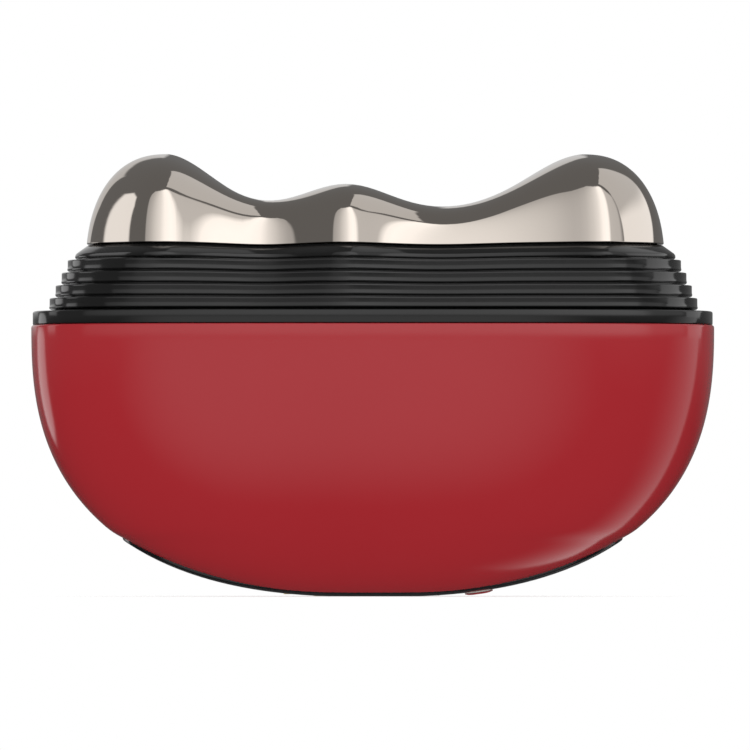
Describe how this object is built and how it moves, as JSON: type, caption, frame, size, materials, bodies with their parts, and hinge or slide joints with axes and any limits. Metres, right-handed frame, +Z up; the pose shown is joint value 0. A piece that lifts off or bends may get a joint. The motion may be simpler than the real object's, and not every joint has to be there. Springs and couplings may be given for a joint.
{
  "type": "neck massager",
  "caption": "Palm-held neck firming massager: red bowl-shaped housing, ribbed black rubber collar and a polished metal head with rounded lobes that floats and vibrates.",
  "frame": {"origin": "under the middle of the bowl, on the plane that the flat of its bottom panel rests on", "axes": "+Z up through the head, +X along the long side to the right as seen from the front, front towards -Y"},
  "size_m": [0.09, 0.05, 0.0584],
  "materials": {
    "shell_red": "high gloss",
    "ring_black": "satin",
    "collar_black": "semi-gloss",
    "head_nickel": "mirror polish, warm nickel",
    "panel_black": "high gloss",
    "button_red": "gloss",
    "button_pale": "satin, translucent",
    "lens_pale": "clear",
    "contact_gold": "plated",
    "inner_plastic": "moulded",
    "steel": "plated",
    "board_green": "solder mask",
    "chip_black": "moulded",
    "socket_white": "moulded",
    "cell_foil": "foil pouch",
    "foam_black": "adhesive foam",
    "film_amber": "polyimide film",
    "wire_red": "insulation"
  },
  "bodies": {
    "housing": {"outer_shell": "shell_red", "base_ring": "ring_black", "bellows_collar": "collar_black", "bottom_panel": "panel_black", "button_ring": "button_red", "indicator_lens": "lens_pale", "charging_contacts": "contact_gold", "bellows_clamp": "inner_plastic", "chassis": "inner_plastic", "shoulder_screws": "steel", "clamp_screws": "steel", "chassis_screws": "steel", "pcb_screws": "steel", "board_screws": "steel", "main_pcb": "board_green", "switch_board": "board_green", "controller_chip": "chip_black", "boost_inductor": "chip_black", "tact_switch": "chip_black", "indicator_led": "socket_white", "lead_sockets": "socket_white", "battery": "cell_foil", "battery_pad": "foam_black", "panel_gasket": "foam_black", "head_lead": "wire_red", "battery_lead": "wire_red", "board_lead": "wire_red"},
    "head": {"massage_head": "head_nickel", "head_plate": "inner_plastic", "head_screws": "steel", "motor_can": "steel", "motor_bracket": "steel", "bracket_screws": "steel", "heater_film": "film_amber", "thermistor": "film_amber"},
    "rotor": {"motor_shaft": "steel", "eccentric_weight": "steel"},
    "button": {"button_cap": "button_pale", "switch_plunger": "socket_white"}
  },
  "joints": [
    {"name": "head_float", "type": "slide", "parent": "housing", "child": "head", "axis": [0, 0, -1], "range_m": [0, 0.0012], "stiffness_N_per_m": 3000, "springref_m": -0.0006, "deforming": ["bellows_collar", "head_lead"]},
    {"name": "weight_spin", "type": "hinge", "parent": "head", "child": "rotor", "pos_m": [0.008, 0, 0.0384], "axis": [1, 0, 0], "continuous": true},
    {"name": "button_press", "type": "slide", "parent": "housing", "child": "button", "axis": [0, 0, 1], "range_m": [0, 0.00035], "stiffness_N_per_m": 1500, "springref_m": -0.0003}
  ]
}
